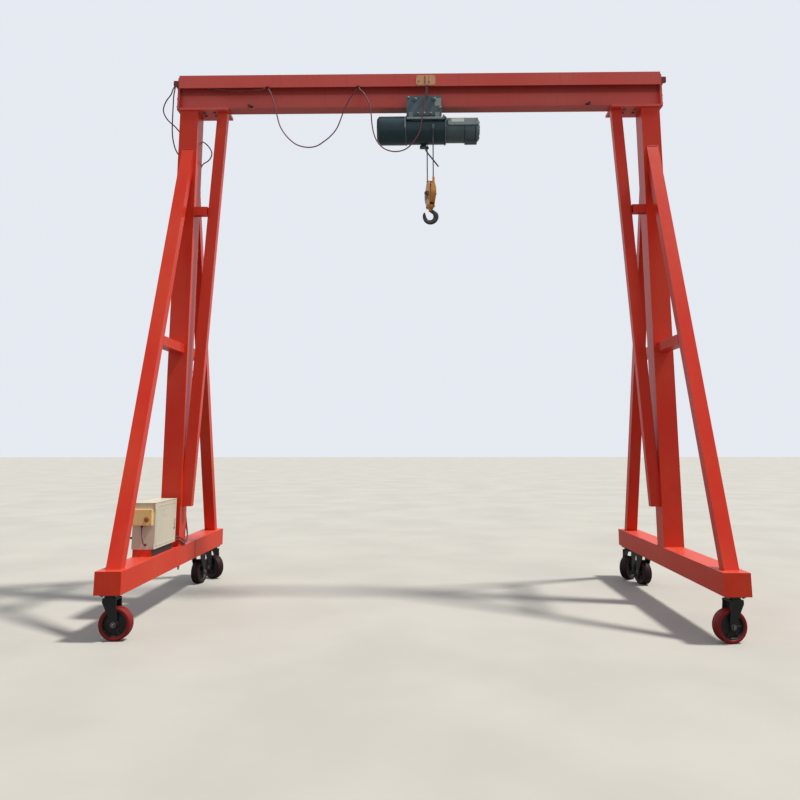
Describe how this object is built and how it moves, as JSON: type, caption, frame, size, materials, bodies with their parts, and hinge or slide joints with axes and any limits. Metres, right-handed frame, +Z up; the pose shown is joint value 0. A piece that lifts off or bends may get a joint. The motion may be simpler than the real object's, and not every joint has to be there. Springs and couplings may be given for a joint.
{
  "type": "mobile gantry crane",
  "caption": "Mobile gantry crane of red box-section steel with a capped I-beam, swivel casters, an electric wire-rope hoist on an under-running trolley and a control cabinet",
  "frame": {"origin": "on the floor, under the middle of the beam and halfway along the base beams", "axes": "+X along the main beam towards the leg without the cabinet, +Y along the base beams towards the paired casters, +Z up"},
  "size_m": [5.861, 3.2, 5.9],
  "materials": {
    "frame_red": "satin",
    "base_red": "satin",
    "beam_red": "satin",
    "caster_black": "satin",
    "core_black": "matte",
    "tread_red": "satin",
    "hoist_teal": "satin",
    "trolley_grey": "satin",
    "block_amber": "satin",
    "hook_steel": "satin",
    "rope_steel": "matte",
    "cabinet_cream": "satin",
    "box_ochre": "matte",
    "plate_tan": "satin",
    "cable_dark": "matte",
    "bracket_dark": "satin"
  },
  "bodies": {
    "frame": {"main_beam": "beam_red", "beam_cap": "beam_red", "beam_fittings": "bracket_dark", "beam_plate": "plate_tan", "head_plates": "beam_red", "columns": "frame_red", "base_beams": "base_red", "braces": "frame_red", "inner_struts": "frame_red", "ties": "frame_red", "caster_plates": "caster_black", "cabinet_shell": "cabinet_cream", "cabinet_riser": "base_red", "switch_box": "box_ochre", "supply_cable": "cable_dark", "cable_loop_1": "cable_dark"},
    "caster_fl": {"fork_fl": "caster_black"},
    "wheel_fl": {"core_fl": "core_black", "tyre_fl": "tread_red"},
    "caster_fr": {"fork_fr": "caster_black"},
    "wheel_fr": {"core_fr": "core_black", "tyre_fr": "tread_red"},
    "caster_bl_in": {"fork_bl_in": "caster_black"},
    "wheel_bl_in": {"core_bl_in": "core_black", "tyre_bl_in": "tread_red"},
    "caster_bl_out": {"fork_bl_out": "caster_black"},
    "wheel_bl_out": {"core_bl_out": "core_black", "tyre_bl_out": "tread_red"},
    "caster_br_in": {"fork_br_in": "caster_black"},
    "wheel_br_in": {"core_br_in": "core_black", "tyre_br_in": "tread_red"},
    "caster_br_out": {"fork_br_out": "caster_black"},
    "wheel_br_out": {"core_br_out": "core_black", "tyre_br_out": "tread_red"},
    "trolley": {"trolley_frame": "trolley_grey", "drum_housing": "hoist_teal", "hoist_motor": "hoist_teal", "control_box": "trolley_grey", "rope_fall": "rope_steel", "rope_anchored": "rope_steel"},
    "block": {"hook_block": "block_amber"},
    "hook": {"hook": "hook_steel"},
    "carrier": {"cable_carrier": "bracket_dark", "cable_loop_2": "cable_dark"},
    "door": {"cabinet_door": "cabinet_cream"}
  },
  "joints": [
    {"name": "swivel_fl", "type": "hinge", "parent": "frame", "child": "caster_fl", "pos_m": [-2.65, -1.48, 0.365], "axis": [0, 0, 1], "continuous": true},
    {"name": "spin_fl", "type": "hinge", "parent": "caster_fl", "child": "wheel_fl", "pos_m": [-2.605, -1.48, 0.14], "axis": [0, 1, 0], "continuous": true},
    {"name": "swivel_fr", "type": "hinge", "parent": "frame", "child": "caster_fr", "pos_m": [2.65, -1.48, 0.365], "axis": [0, 0, 1], "continuous": true},
    {"name": "spin_fr", "type": "hinge", "parent": "caster_fr", "child": "wheel_fr", "pos_m": [2.60568, -1.48781, 0.14], "axis": [0.1736, -0.9848, 0], "continuous": true},
    {"name": "swivel_bl_in", "type": "hinge", "parent": "frame", "child": "caster_bl_in", "pos_m": [-2.675, 1.048, 0.365], "axis": [0, 0, 1], "continuous": true},
    {"name": "spin_bl_in", "type": "hinge", "parent": "caster_bl_in", "child": "wheel_bl_in", "pos_m": [-2.66796, 1.09245, 0.14], "axis": [-0.9877, 0.1564, 0], "continuous": true},
    {"name": "swivel_bl_out", "type": "hinge", "parent": "frame", "child": "caster_bl_out", "pos_m": [-2.625, 1.45, 0.365], "axis": [0, 0, 1], "continuous": true},
    {"name": "spin_bl_out", "type": "hinge", "parent": "caster_bl_out", "child": "wheel_bl_out", "pos_m": [-2.58859, 1.42355, 0.14], "axis": [0.5878, 0.809, 0], "continuous": true},
    {"name": "swivel_br_in", "type": "hinge", "parent": "frame", "child": "caster_br_in", "pos_m": [2.675, 1.048, 0.365], "axis": [0, 0, 1], "continuous": true},
    {"name": "spin_br_in", "type": "hinge", "parent": "caster_br_in", "child": "wheel_br_in", "pos_m": [2.66335, 1.09147, 0.14], "axis": [-0.9659, -0.2588, 0], "continuous": true},
    {"name": "swivel_br_out", "type": "hinge", "parent": "frame", "child": "caster_br_out", "pos_m": [2.625, 1.45, 0.365], "axis": [0, 0, 1], "continuous": true},
    {"name": "spin_br_out", "type": "hinge", "parent": "caster_br_out", "child": "wheel_br_out", "pos_m": [2.59209, 1.41931, 0.14], "axis": [0.682, -0.7314, 0], "continuous": true},
    {"name": "trolley_travel", "type": "slide", "parent": "frame", "child": "trolley", "axis": [1, 0, 0], "range_m": [-1.56, 1.42]},
    {"name": "hook_lift", "type": "slide", "parent": "trolley", "child": "block", "axis": [0, 0, 1], "range_m": [-4, 0.12], "deforming": ["rope_fall", "rope_anchored"]},
    {"name": "hook_swivel", "type": "hinge", "parent": "block", "child": "hook", "pos_m": [0.13, -0.059, 4.3], "axis": [0, 0, 1], "continuous": true},
    {"name": "carrier_slide", "type": "slide", "parent": "trolley", "child": "carrier", "axis": [1, 0, 0], "range_m": [-0.6816, 0.7488]},
    {"name": "cabinet_door_hinge", "type": "hinge", "parent": "frame", "child": "door", "pos_m": [-2.559, -0.8063, 0.87], "axis": [0, 0, -1], "range_deg": [0, 110]}
  ],
  "couplings": [
    {"joint": "carrier_slide", "follows": "trolley_travel", "ratio": -0.48}
  ]
}
